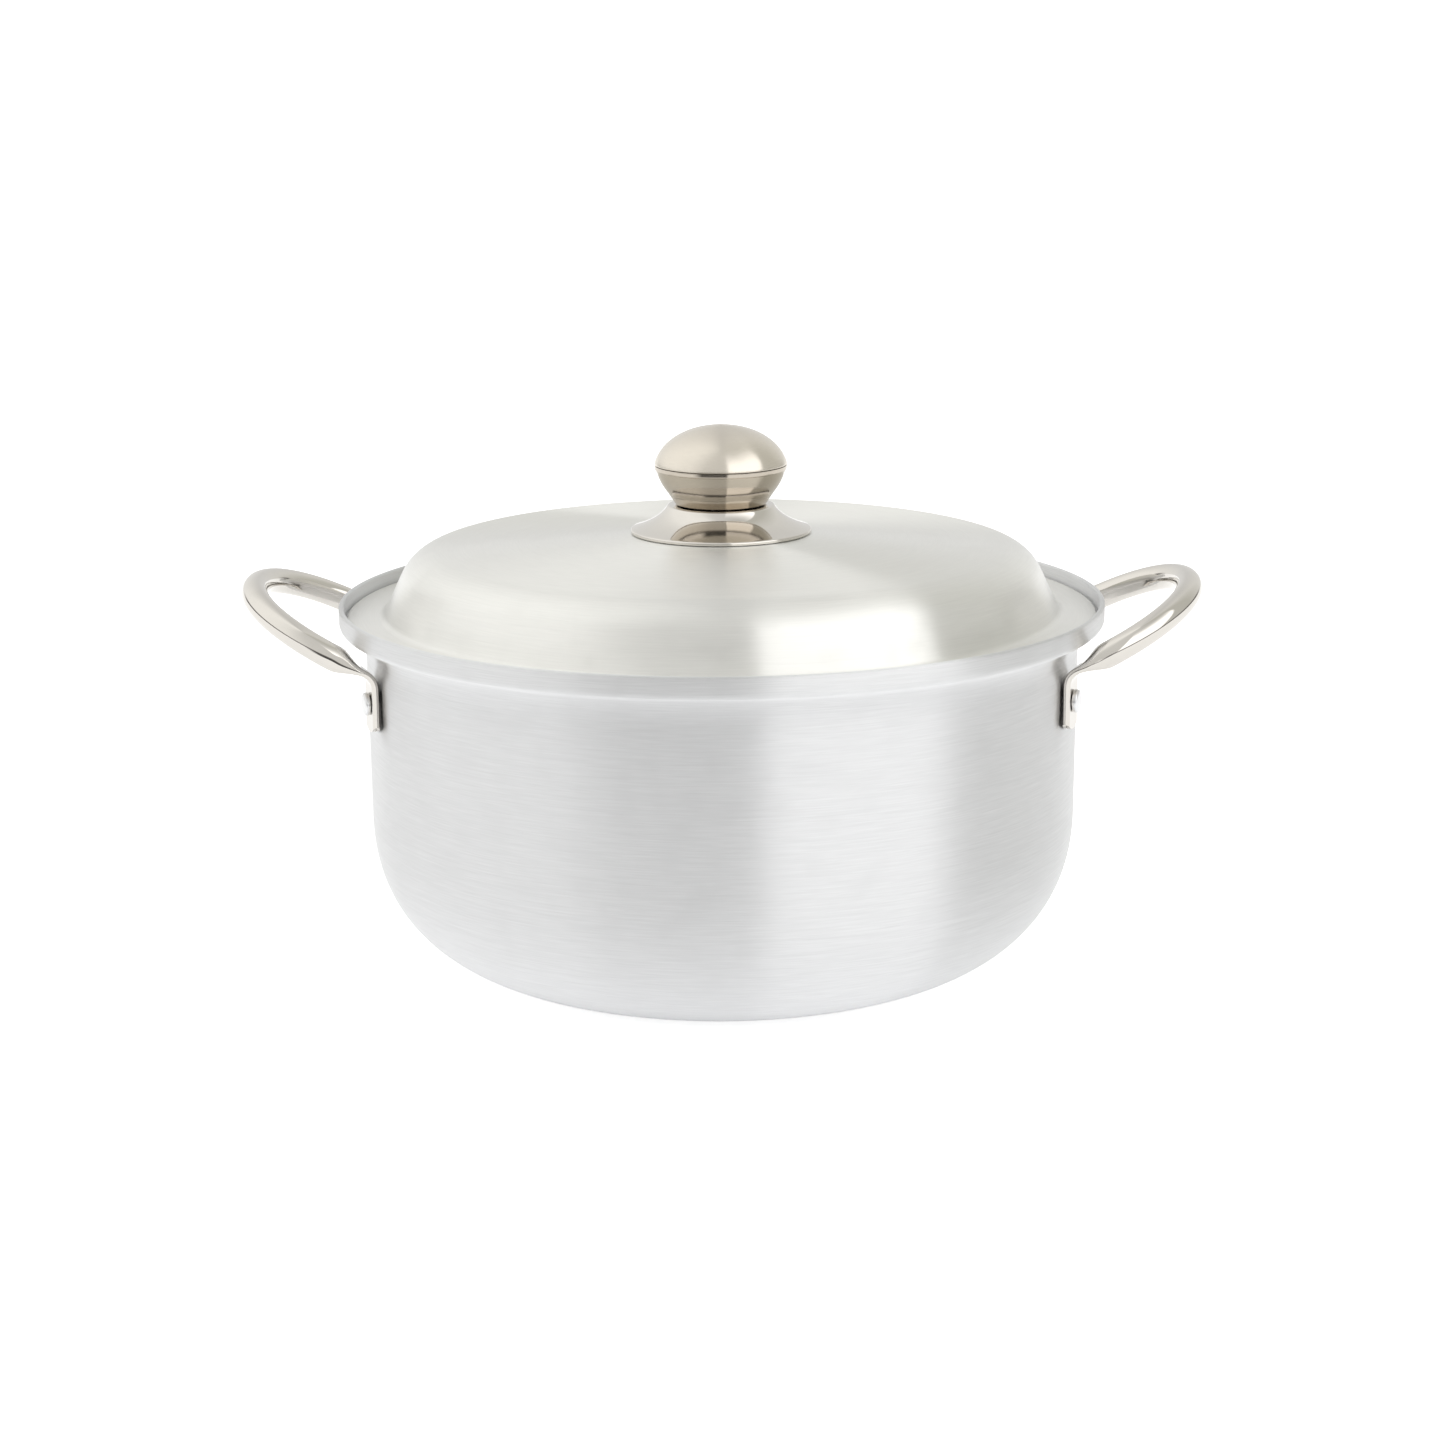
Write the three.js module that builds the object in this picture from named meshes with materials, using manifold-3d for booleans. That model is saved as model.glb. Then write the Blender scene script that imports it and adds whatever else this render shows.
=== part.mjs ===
// A two-handled aluminium cooking pot with a lift-off lid and a hollow steel knob.
// Millimetres, +Z up. The origin is the middle of the flat base, and the handles point along X.

import * as THREE from 'three';
import { mergeVertices } from 'three/addons/utils/BufferGeometryUtils.js';
import Module from 'manifold-3d';

const wasm = await Module();
wasm.setup();

// ---------------------------------------------------------------- driving dimensions

const seatGap = 0.3;              // left between pieces that rest on each other
const holeGap = 0.4;              // all round a shank in its hole

const rimRadius = 140;            // outside of the upright rim band
const potHeight = 138;
const potSheet = 2;
const bandHeight = 8.3;           // upright rim band, shoulder to lip
const bandCorner = 2.6;
const neckWidth = 7;              // how far the shoulder flares out over the wall
const neckHeight = 11.3;
const wallTaper = 0.5;            // the wall closes in by this much towards the base
const baseRadius = 61;            // flat part of the base
const baseCornerHeight = 61.8;    // height at which the upright wall starts
const baseCornerPower = 2.3;      // 2 would be an ellipse, more is squarer

const lidSheet = 1.4;
const lidEdgeGap = 1;             // between the brim and the inside of the rim band
const brimWidth = 13.2;
const lidFootFillet = 3;
const lidSideHeight = 23.2;       // from the brim up to where side and crown would meet
const lidSideLean = 11;           // how far the side leans in over that height
const lidShoulder = 15.7;         // radius between the side and the crown
const crownRise = 7.5;            // from there up to the middle of the lid

const tubeDiameter = 9.5;
const tubeWall = 1.1;
const tabSlit = 0.3;              // left inside the flattened ends of the tube
const tabAngle = THREE.MathUtils.degToRad(19.5);
const tabBelowRivet = 11.9;
const tabEndRound = 2.6;
const bendReach = 4;
const flattenLength = 10.5;       // over this much of the arm the tube grows round again
const armBelowRim = 19.8;         // from the lip down to where the arms leave the wall
const armTilt = THREE.MathUtils.degToRad(27);
const armFlare = THREE.MathUtils.degToRad(17);
const armSwing = 27.5;            // how far the arms keep their first direction
const loopReach = 46.6;           // from the tabs out to the middle of the loop
const loopRise = 24.2;
const loopSwing = 32.7;           // how far the middle of the loop stays square across

const rivetBelowRim = 30;
const rivetShank = 4.8;
const rivetHead = 8.2;
const rivetHeadHeight = 2;
const rivetHeadFlat = 6.2;        // flat top of the head
const rivetHeadEdge = 1.3;        // upright edge of the head
const rivetInnerHead = 10;
const rivetInnerHeadHeight = 1.6;
const rivetInnerFlat = 6;
const rivetInnerEdge = 0.5;

const skirtRadius = 33.2;
const skirtTopRadius = 19.4;
const skirtHeight = 10;
const skirtHangOut = 0.26;         // where the flare is pulled to, as a share of the way out
const skirtHangUp = 0.42;
const skirtCorner = 1;
const skirtSheet = 0.9;
const knobRadius = 24.4;
const cupFootRadius = 16.6;
const cupFootHeight = 4.2;
const cupFootRound = 0.7;
const cupFlare = 2.8;             // how far the foot of the cup opens over its height
const cupBellyOut = 0.75;         // where the side of the cup is pulled to, as a share of the way out
const cupBellyUp = 0.5;
const cupHeight = 12.4;
const beadHeight = 1.8;
const beadOverhang = 0.7;         // how far the knob's edge stands out over the cup
const capSink = 4.1;              // from the cap's edge down to where its dome would be widest
const capReachUp = 18.2;          // from there up to the top
const capPower = 2.1;             // 2 would be half an ellipse, more is squarer
const knobSheet = 1;

const screwDiameter = 5;
const screwHead = 9.5;
const screwHeadHeight = 3;
const screwHeadFlat = 5.7;
const screwHeadEdge = 1.5;
const screwPastNut = 2;
const screwPoint = 0.6;           // bevel at the tip
const screwSlotLength = 5.4;
const screwSlotWidth = 1.1;
const screwSlotDepth = 1.6;
const nutAcrossFlats = 8;
const nutHeight = 4;
const washerDiameter = 15;
const washerThickness = 1;

const largeSegments = 48;
const knobSegments = 28;
const smallSegments = 14;
const tubeSides = 10;
const tabSteps = 3;
const armSteps = 14;
const armCrowding = 1.25;         // more than 1 crowds the steps of an arm towards its bend
const arcShare = 0.95;            // a fillet takes at most this share of a straight line
const axisTolerance = 1e-6;
const mergeTolerance = 1e-4;

// ---------------------------------------------------------------- places worked out

const wallRadius = rimRadius - bandCorner - neckWidth;
const wallFootRadius = wallRadius - wallTaper;
const shoulderHeight = potHeight - bandHeight;
const wallTopHeight = shoulderHeight - neckHeight;
const rivetHeight = potHeight - rivetBelowRim;

const brimRadius = rimRadius - potSheet - lidEdgeGap;
const lidFootRadius = brimRadius - brimWidth;
const brimHeight = shoulderHeight + potSheet + seatGap + lidSheet;
const crownEdgeRadius = lidFootRadius - lidSideLean;
const crownEdgeHeight = brimHeight + lidSideHeight;
const crownHeight = crownEdgeHeight + crownRise;
const screwHoleRadius = screwDiameter / 2 + holeGap;

const tubeRadius = tubeDiameter / 2;
const tabHalfThickness = tubeWall + tabSlit / 2;
const tabRadius = wallRadius + seatGap + tabHalfThickness;
const armHeight = potHeight - armBelowRim;

// Height of the lid's upper surface at a radius on the crown.
function crownHeightAt(radius) {
  return crownHeight - crownRise * radius / crownEdgeRadius;
}

// Outside radius of the pot's wall at a height between the base corner and the neck.
function wallRadiusAt(height) {
  const share = (height - baseCornerHeight) / (wallTopHeight - baseCornerHeight);
  return THREE.MathUtils.lerp(wallFootRadius, wallRadius, THREE.MathUtils.clamp(share, 0, 1));
}

const skirtEdgeHeight = crownHeightAt(skirtRadius) + seatGap;
const skirtTopHeight = skirtEdgeHeight + skirtHeight;
const cupFloorHeight = skirtTopHeight + seatGap;
const cupTopHeight = cupFloorHeight + cupHeight;
const beadTopHeight = cupTopHeight + beadHeight;
const capEdgeHeight = beadTopHeight + seatGap;
const nutFootHeight = cupFloorHeight + knobSheet + seatGap;
const washerFootHeight = crownHeightAt(washerDiameter / 2) - lidSheet - seatGap - washerThickness;
const screwFootHeight = washerFootHeight - seatGap - screwHeadHeight;

// ---------------------------------------------------------------- outlines

const point = (across, up) => new THREE.Vector2(across, up);

// A quarter of a superellipse about a centre, from one angle to another in quarter turns.
function quarter(centre, reach, from, to, steps, power = 2) {
  const soften = (value) => Math.sign(value) * Math.abs(value) ** (2 / power);
  return Array.from({ length: steps + 1 }, (unused, step) => {
    const angle = THREE.MathUtils.lerp(from, to, step / steps) * Math.PI / 2;
    return point(
      centre.x + reach.x * soften(Math.cos(angle)),
      centre.y + reach.y * soften(Math.sin(angle)),
    );
  });
}

// The corner of two straight lines, rounded with an arc that is kept within both lines.
function rounded(before, corner, after, radius, steps) {
  const back = before.clone().sub(corner);
  const ahead = after.clone().sub(corner);
  const half = Math.acos(back.dot(ahead) / (back.length() * ahead.length())) / 2;
  const roomiest = Math.min(back.length(), ahead.length()) * arcShare;
  const reach = Math.min(radius / Math.tan(half), roomiest);
  const start = corner.clone().addScaledVector(back.normalize(), reach);
  const end = corner.clone().addScaledVector(ahead.normalize(), reach);
  const middle = back.clone().add(ahead).normalize();
  const centre = corner.clone().addScaledVector(middle, reach / Math.cos(half));
  const first = start.clone().sub(centre);
  const last = end.clone().sub(centre);
  const turn = Math.atan2(first.cross(last), first.dot(last));
  return Array.from({ length: steps + 1 }, (unused, step) =>
    start.clone().rotateAround(centre, turn * step / steps));
}

// Sheet metal: an outer line, the same line set in by the thickness, and round free edges.
// The outer line runs with its outside on the right hand.
function sheet(outer, thickness, edgeSteps = 3) {
  const normals = outer.slice(1).map((here, index) => {
    const line = here.clone().sub(outer[index]).normalize();
    return point(-line.y, line.x);
  });
  const onAxis = (here) => here.x < axisTolerance;
  const inner = outer.map((here, index) => {
    const arriving = normals[Math.max(index - 1, 0)];
    const leaving = normals[Math.min(index, normals.length - 1)];
    const mitre = onAxis(here) ? point(0, Math.sign(leaving.y)) : arriving.clone().add(leaving).normalize();
    return here.clone().addScaledVector(mitre, thickness / Math.abs(mitre.dot(leaving)));
  });
  const edge = (from, to) => Array.from({ length: edgeSteps }, (unused, step) =>
    from.clone().rotateAround(from.clone().lerp(to, 0.5), Math.PI * (step + 1) / (edgeSteps + 1)));
  const startEdge = onAxis(outer[0]) ? [] : edge(inner[0], outer[0]);
  const endEdge = onAxis(outer.at(-1)) ? [] : edge(outer.at(-1), inner.at(-1));
  if (onAxis(outer.at(-1))) {
    return [...inner.toReversed(), ...startEdge, ...outer];
  }
  const closing = onAxis(outer[0]) ? [] : [...startEdge, outer[0].clone()];
  return [...outer, ...endEdge, ...inner.toReversed(), ...closing];
}

// Turns an outline about the Z axis.
function turned(outline, segments) {
  return new THREE.LatheGeometry(outline, segments).rotateX(Math.PI / 2);
}

// ---------------------------------------------------------------- solids

function toSolid(geometry) {
  const bare = geometry.clone();
  bare.deleteAttribute('normal');
  bare.deleteAttribute('uv');
  const merged = mergeVertices(bare, mergeTolerance);
  return new wasm.Manifold(new wasm.Mesh({
    numProp: 3,
    vertProperties: new Float32Array(merged.attributes.position.array),
    triVerts: new Uint32Array(merged.index.array),
  }));
}

function toGeometry(solid) {
  const mesh = solid.getMesh();
  const geometry = new THREE.BufferGeometry();
  geometry.setAttribute('position', new THREE.BufferAttribute(mesh.vertProperties, 3));
  geometry.setIndex(new THREE.BufferAttribute(mesh.triVerts, 1));
  geometry.computeVertexNormals();
  return geometry;
}

function cutAway(geometry, cutters) {
  return toGeometry(cutters.reduce((solid, cutter) => solid.subtract(toSolid(cutter)), toSolid(geometry)));
}

// A drill along the rivet of one tab, twice as long as the wall and the flattened tube need.
function rivetDrill(angle) {
  const radius = rivetShank / 2 + holeGap;
  const length = 4 * (tabHalfThickness + seatGap + potSheet);
  return new THREE.CylinderGeometry(radius, radius, length, smallSegments)
    .rotateZ(-Math.PI / 2)
    .translate(tabRadius, 0, 0)
    .rotateZ(angle)
    .translate(0, 0, rivetHeight);
}

// ---------------------------------------------------------------- pieces of the pot

function potBody() {
  const outer = [
    point(0, 0),
    ...quarter(
      point(baseRadius, baseCornerHeight),
      point(wallFootRadius - baseRadius, baseCornerHeight),
      -1, 0, 8, baseCornerPower,
    ),
    ...quarter(
      point(wallRadius + neckWidth, wallTopHeight),
      point(neckWidth, neckHeight),
      2, 1, 4,
    ),
    ...quarter(
      point(rimRadius - bandCorner, shoulderHeight + bandCorner),
      point(bandCorner, bandCorner),
      -1, 0, 3,
    ).slice(1),
    point(rimRadius, potHeight - potSheet / 2),
  ];
  const angles = [tabAngle, -tabAngle, Math.PI + tabAngle, Math.PI - tabAngle];
  return cutAway(turned(sheet(outer, potSheet), largeSegments), angles.map(rivetDrill));
}

// Stations along one half of a handle's centreline, from the end of the tab to the end of the loop.
function handleHalf(side) {
  const armWay = new THREE.Vector3(
    Math.cos(armTilt) * Math.cos(armFlare),
    side * Math.cos(armTilt) * Math.sin(armFlare),
    Math.sin(armTilt),
  );
  const tabTop = new THREE.Vector3(
    tabRadius * Math.cos(tabAngle),
    side * tabRadius * Math.sin(tabAngle),
    armHeight,
  );
  const tabFoot = tabTop.clone().setZ(rivetHeight - tabBelowRivet);
  const bendStart = tabTop.clone().setZ(armHeight - bendReach);
  const bendEnd = tabTop.clone().addScaledVector(armWay, bendReach);
  const armEnd = tabTop.clone().addScaledVector(armWay, armSwing);
  const loopEnd = new THREE.Vector3(tabTop.x + loopReach, 0, armHeight + loopRise);
  const loopSide = loopEnd.clone().setY(side * loopSwing);
  const tab = new THREE.LineCurve3(tabFoot, bendStart);
  const bend = new THREE.QuadraticBezierCurve3(bendStart, tabTop, bendEnd);
  const arm = new THREE.CubicBezierCurve3(bendEnd, armEnd, loopSide, loopEnd);

  const station = (curve, along, roundness, facingShare) => ({
    place: curve.getPointAt(along),
    ahead: curve.getTangentAt(along).multiplyScalar(-side),
    facing: side * tabAngle * facingShare,
    flatness: 1 - THREE.MathUtils.smoothstep(roundness, 0, 1),
    end: 0,
  });
  const steps = (count) => Array.from({ length: count }, (unused, step) => step / count);
  const armStations = [...steps(armSteps), 1].map((share) => share ** armCrowding);
  const stations = [
    ...steps(tabSteps).map((along) => station(tab, along, 0, 1)),
    ...steps(tabSteps).map((along) => station(bend, along, 0, 1)),
    ...armStations.map((along) => station(arm, along, along * arm.getLength() / flattenLength, 1 - along)),
  ];
  stations[0].end = -side;
  return stations;
}

// A bent tube: made straight, one unit for each station, then laid along the stations.
function handle() {
  const first = handleHalf(-1);
  const second = handleHalf(1);
  const stations = [...first, ...second.reverse().slice(1)];
  const ring = new THREE.Shape();
  const sideAngle = 2 * Math.PI / tubeSides;
  const corners = (radius) => Array.from({ length: tubeSides }, (unused, index) =>
    point(radius * Math.cos((index + 0.5) * sideAngle), radius * Math.sin((index + 0.5) * sideAngle)));
  ring.setFromPoints(corners(tubeRadius));
  ring.holes.push(new THREE.Path(corners(tubeRadius - tubeWall).reverse()));
  const tube = new THREE.ExtrudeGeometry(ring, {
    depth: stations.length - 1,
    steps: stations.length - 1,
    bevelEnabled: false,
  });
  const positions = tube.attributes.position;
  for (let index = 0; index < positions.count; index += 1) {
    const corner = point(positions.getX(index), positions.getY(index));
    const station = stations[Math.round(positions.getZ(index))];
    const placed = onStation(station, corner);
    positions.setXYZ(index, placed.x, placed.y, placed.z);
  }
  return cutAway(tube, [rivetDrill(tabAngle), rivetDrill(-tabAngle)]);
}

// Where a corner of the round tube goes at a station. The wall keeps its length round the
// tube, so the flattened tube is wider by half of the outline that it loses in height.
function onStation(station, corner) {
  const height = THREE.MathUtils.lerp(tubeRadius, tabHalfThickness, station.flatness);
  const depth = tubeRadius - corner.length();
  const angle = corner.angle();
  const flat = Math.PI * (tubeRadius - height) / 2;
  const across = Math.sign(Math.cos(angle)) * flat + (height - depth) * Math.cos(angle);
  const up = (height - depth) * Math.sin(angle);
  const thin = new THREE.Vector3(
    -Math.sin(armTilt) * Math.cos(station.facing),
    -Math.sin(armTilt) * Math.sin(station.facing),
    Math.cos(armTilt),
  );
  thin.addScaledVector(station.ahead, -thin.dot(station.ahead)).normalize();
  const wide = thin.clone().cross(station.ahead).normalize();
  const setBack = station.end * tabEndRound * (across / (flat + height)) ** 2;
  return station.place.clone()
    .addScaledVector(wide, across)
    .addScaledVector(thin, up)
    .addScaledVector(station.ahead, setBack);
}

// One rivet on the X axis, its larger head inside the pot.
function rivet() {
  const inside = wallRadiusAt(rivetHeight) - potSheet;
  const innerSeat = inside * Math.cos(Math.PI / largeSegments) - seatGap;
  const outerSeat = tabRadius + tabHalfThickness + seatGap;
  const shank = rivetShank / 2;
  const outline = [
    point(0, innerSeat - rivetInnerHeadHeight),
    point(rivetInnerFlat / 2, innerSeat - rivetInnerHeadHeight),
    point(rivetInnerHead / 2, innerSeat - rivetInnerEdge),
    point(rivetInnerHead / 2, innerSeat),
    point(shank, innerSeat),
    point(shank, outerSeat),
    point(rivetHead / 2, outerSeat),
    point(rivetHead / 2, outerSeat + rivetHeadEdge),
    point(rivetHeadFlat / 2, outerSeat + rivetHeadHeight),
    point(0, outerSeat + rivetHeadHeight),
  ];
  return turned(outline, smallSegments).rotateY(Math.PI / 2);
}

// ---------------------------------------------------------------- pieces of the lid

function lidShell() {
  const brimEdge = point(brimRadius - lidSheet / 2, brimHeight);
  const foot = point(lidFootRadius, brimHeight);
  const crownEdge = point(crownEdgeRadius, crownEdgeHeight);
  const hole = point(screwHoleRadius + lidSheet / 2, crownHeightAt(screwHoleRadius));
  const outer = [
    brimEdge,
    ...rounded(brimEdge, foot, crownEdge, lidFootFillet, 2),
    ...rounded(foot, crownEdge, hole, lidShoulder, 5),
    hole,
  ];
  return turned(sheet(outer, lidSheet), largeSegments);
}

// The flared collar that carries the knob, resting on the crown by its edge.
function knobSkirt() {
  const hang = point(
    THREE.MathUtils.lerp(skirtTopRadius, skirtRadius, skirtHangOut),
    THREE.MathUtils.lerp(skirtEdgeHeight, skirtTopHeight, skirtHangUp),
  );
  const edge = point(skirtRadius - skirtSheet / 2, skirtEdgeHeight + skirtSheet);
  const shoulder = rounded(
    hang,
    point(skirtTopRadius, skirtTopHeight),
    point(screwHoleRadius, skirtTopHeight),
    skirtCorner, 2,
  );
  const outer = [
    ...new THREE.QuadraticBezierCurve(edge, hang, shoulder[0]).getPoints(4),
    ...shoulder.slice(1),
    point(screwHoleRadius + skirtSheet / 2, skirtTopHeight),
  ];
  return turned(sheet(outer, skirtSheet, 1), knobSegments);
}

// The lower half of the hollow knob, opening into the bead that the cap sits on.
function knobCup() {
  const foot = point(cupFootRadius + cupFlare, cupFloorHeight + cupFootHeight);
  const lip = point(knobRadius - beadOverhang, cupTopHeight);
  const belly = point(
    THREE.MathUtils.lerp(foot.x, lip.x, cupBellyOut),
    THREE.MathUtils.lerp(foot.y, lip.y, cupBellyUp),
  );
  const outer = [
    point(screwHoleRadius + knobSheet / 2, cupFloorHeight),
    point(cupFootRadius - cupFootRound, cupFloorHeight),
    point(cupFootRadius, cupFloorHeight + cupFootRound),
    ...new THREE.QuadraticBezierCurve(foot, belly, lip).getPoints(3),
    point(knobRadius - beadOverhang / 3, cupTopHeight + beadOverhang / 2),
    point(knobRadius - beadOverhang / 3, beadTopHeight - knobSheet / 2),
  ];
  return turned(sheet(outer, knobSheet, 1), knobSegments);
}

// The dome would be widest a little below its edge, so the edge closes in slightly upwards.
function knobCap() {
  const edgeRise = (capSink + knobSheet / 2) / capReachUp;
  const edgeAngle = Math.asin(edgeRise ** (capPower / 2)) / (Math.PI / 2);
  const capReachOut = knobRadius / (1 - edgeRise ** capPower) ** (1 / capPower);
  const outer = quarter(
    point(0, capEdgeHeight - capSink),
    point(capReachOut, capReachUp),
    edgeAngle, 1, 7, capPower,
  );
  return turned(sheet(outer, knobSheet, 1), knobSegments);
}

function knobNut() {
  const hexagon = new THREE.Shape();
  const cornerRadius = nutAcrossFlats / Math.sqrt(3);
  hexagon.setFromPoints(Array.from({ length: 6 }, (unused, index) =>
    point(cornerRadius * Math.cos(index * Math.PI / 3), cornerRadius * Math.sin(index * Math.PI / 3))));
  hexagon.holes.push(new THREE.Path().absarc(0, 0, screwHoleRadius, 0, 2 * Math.PI, true));
  return new THREE.ExtrudeGeometry(hexagon, {
    depth: nutHeight,
    bevelEnabled: false,
    curveSegments: smallSegments,
  });
}

function screwWasher() {
  const outline = [
    point(screwHoleRadius, 0),
    point(washerDiameter / 2, 0),
    point(washerDiameter / 2, washerThickness),
    point(screwHoleRadius, washerThickness),
    point(screwHoleRadius, 0),
  ];
  return turned(outline, knobSegments);
}

// A pan-head screw with a cross slot, standing on its head at height 0.
function knobScrew() {
  const length = nutFootHeight + nutHeight + screwPastNut - screwFootHeight;
  const outline = [
    point(0, 0),
    point(screwHeadFlat / 2, 0),
    point(screwHead / 2, screwHeadEdge),
    point(screwHead / 2, screwHeadHeight),
    point(screwDiameter / 2, screwHeadHeight),
    point(screwDiameter / 2, length - screwPoint),
    point(screwDiameter / 2 - screwPoint, length),
    point(0, length),
  ];
  const slot = () => new THREE.BoxGeometry(screwSlotLength, screwSlotWidth, 2 * screwSlotDepth);
  return cutAway(turned(outline, smallSegments), [slot(), slot().rotateZ(Math.PI / 2)]);
}

// ---------------------------------------------------------------- the assembly

const finishes = {
  potAluminium: { color: 0xd9dbe0, roughness: 0.38, metalness: 1 },
  lidAluminium: { color: 0xdcdcd8, roughness: 0.32, metalness: 1 },
  polishedSteel: { color: 0xd2ccc2, roughness: 0.1, metalness: 1 },
  brushedSteel: { color: 0xcbc4b8, roughness: 0.26, metalness: 1 },
  rivetAluminium: { color: 0xe8e8e6, roughness: 0.35, metalness: 1 },
  zincSteel: { color: 0xb9bcc0, roughness: 0.4, metalness: 1 },
};

function piece(name, geometry, finish, height = 0) {
  const mesh = new THREE.Mesh(geometry, new THREE.MeshStandardMaterial(finish));
  mesh.name = name;
  mesh.position.z = height;
  return mesh;
}

function handleSide(sideName, turn, handleGeometry, rivetGeometry) {
  const side = new THREE.Group();
  side.rotation.z = turn;
  side.add(piece(`${sideName}_handle`, handleGeometry, finishes.polishedSteel));
  const frontIsPositive = Math.cos(turn) < 0;
  for (const sign of [-1, 1]) {
    const end = (sign > 0) === frontIsPositive ? 'front' : 'rear';
    const fastener = piece(`${sideName}_${end}_rivet`, rivetGeometry, finishes.rivetAluminium, rivetHeight);
    fastener.rotation.z = sign * tabAngle;
    side.add(fastener);
  }
  return side;
}

function pot() {
  const group = new THREE.Group();
  const handleGeometry = handle();
  const rivetGeometry = rivet();
  group.add(piece('pot_body', potBody(), finishes.potAluminium));
  group.add(handleSide('right', 0, handleGeometry, rivetGeometry));
  group.add(handleSide('left', Math.PI, handleGeometry, rivetGeometry));
  return group;
}

function lid() {
  const group = new THREE.Group();
  group.add(piece('lid_shell', lidShell(), finishes.lidAluminium));
  group.add(piece('knob_skirt', knobSkirt(), finishes.polishedSteel));
  group.add(piece('knob_cup', knobCup(), finishes.brushedSteel));
  group.add(piece('knob_cap', knobCap(), finishes.brushedSteel));
  group.add(piece('knob_nut', knobNut(), finishes.zincSteel, nutFootHeight));
  group.add(piece('screw_washer', screwWasher(), finishes.zincSteel, washerFootHeight));
  group.add(piece('knob_screw', knobScrew(), finishes.zincSteel, screwFootHeight));
  return group;
}

const cookingPot = new THREE.Group();
cookingPot.add(pot(), lid());

export default cookingPot;
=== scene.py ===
"""A lidded aluminium cooking pot: its visible pieces, their finishes and a plain studio."""

import math

import bpy
from bpy.props import FloatProperty, FloatVectorProperty, IntProperty, PointerProperty
from bpy.types import Operator, Panel, PropertyGroup
from mathutils import Matrix, Vector
from mathutils.geometry import interpolate_bezier


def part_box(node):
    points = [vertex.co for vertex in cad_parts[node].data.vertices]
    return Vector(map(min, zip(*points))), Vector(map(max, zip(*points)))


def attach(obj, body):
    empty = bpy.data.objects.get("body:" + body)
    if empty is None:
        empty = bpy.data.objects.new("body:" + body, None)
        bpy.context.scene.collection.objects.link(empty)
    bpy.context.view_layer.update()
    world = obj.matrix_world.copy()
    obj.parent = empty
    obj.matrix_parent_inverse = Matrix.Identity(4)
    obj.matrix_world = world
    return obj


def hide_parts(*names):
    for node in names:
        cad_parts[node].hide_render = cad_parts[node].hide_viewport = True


bl_info = {
    "name": "Cooking Pot",
    "version": (1, 0, 0),
    "blender": (4, 5, 0),
    "location": "3D View > Sidebar > Pot",
    "description": "Models a lidded aluminium pot with steel handles and knob, and lights it",
    "category": "Object",
}

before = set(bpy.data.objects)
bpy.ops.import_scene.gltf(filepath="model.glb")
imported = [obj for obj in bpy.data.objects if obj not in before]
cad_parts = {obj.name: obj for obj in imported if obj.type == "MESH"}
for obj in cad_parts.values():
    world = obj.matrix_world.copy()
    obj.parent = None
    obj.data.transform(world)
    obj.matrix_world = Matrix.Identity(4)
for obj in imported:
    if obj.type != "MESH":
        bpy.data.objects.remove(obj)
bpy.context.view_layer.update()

MM = 0.001
MERGE_DISTANCE = 0.002 * MM
FULL_TURN = 2 * math.pi
QUARTER_TURN = math.pi / 2
UP = Vector((0, 0, 1))

POT_LOW, POT_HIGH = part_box("pot_body")
HANDLE_LOW, HANDLE_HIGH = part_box("right_handle")
RIVET_LOW, RIVET_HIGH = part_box("right_rear_rivet")
LID_LOW, LID_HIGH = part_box("lid_shell")
SKIRT_LOW, SKIRT_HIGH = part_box("knob_skirt")
CUP_LOW, CUP_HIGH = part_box("knob_cup")
CAP_LOW, CAP_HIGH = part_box("knob_cap")


def length(name, description, default):
    """A size in metres, shown in the scene's own unit."""
    return FloatProperty(name=name, description=description, default=default, min=0, unit="LENGTH", precision=5)


def angle(name, description, degrees):
    return FloatProperty(name=name, description=description, default=math.radians(degrees), unit="ROTATION")


def share(name, description, default):
    return FloatProperty(name=name, description=description, default=default, min=0, max=1, subtype="FACTOR")


def colour(name, description, default):
    return FloatVectorProperty(
        name=name, description=description, default=default, size=3, min=0, max=1, subtype="COLOR",
    )


# ---------------------------------------------------------------- sizes and colours


class PotSizes(PropertyGroup):
    """The spun body, from the middle of its base up to its lip."""

    rim_radius: length("Rim radius", "Outside of the upright band", POT_HIGH.x)
    height: length("Height", "From the base to the lip", POT_HIGH.z)
    sheet: length("Sheet", "Thickness of the metal", 2 * MM)
    band_height: length("Band height", "Upright band above the shoulder", 8.3 * MM)
    band_corner: length("Band corner", "Radius between the shoulder and the band", 2.6 * MM)
    neck_width: length("Neck width", "How far the shoulder flares out", 7 * MM)
    neck_height: length("Neck height", "Height of that flare", 11.3 * MM)
    wall_taper: length("Wall taper", "How far the wall closes in downwards", 0.5 * MM)
    base_radius: length("Base radius", "Flat part of the base", 61 * MM)
    corner_height: length("Corner height", "Where the round corner meets the wall", 61.8 * MM)
    corner_power: FloatProperty(name="Corner power", description="2 is an ellipse", default=2.3)
    lip_round: share("Lip round", "Rounding of the lip, as a share of the sheet", 0.46)


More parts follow.
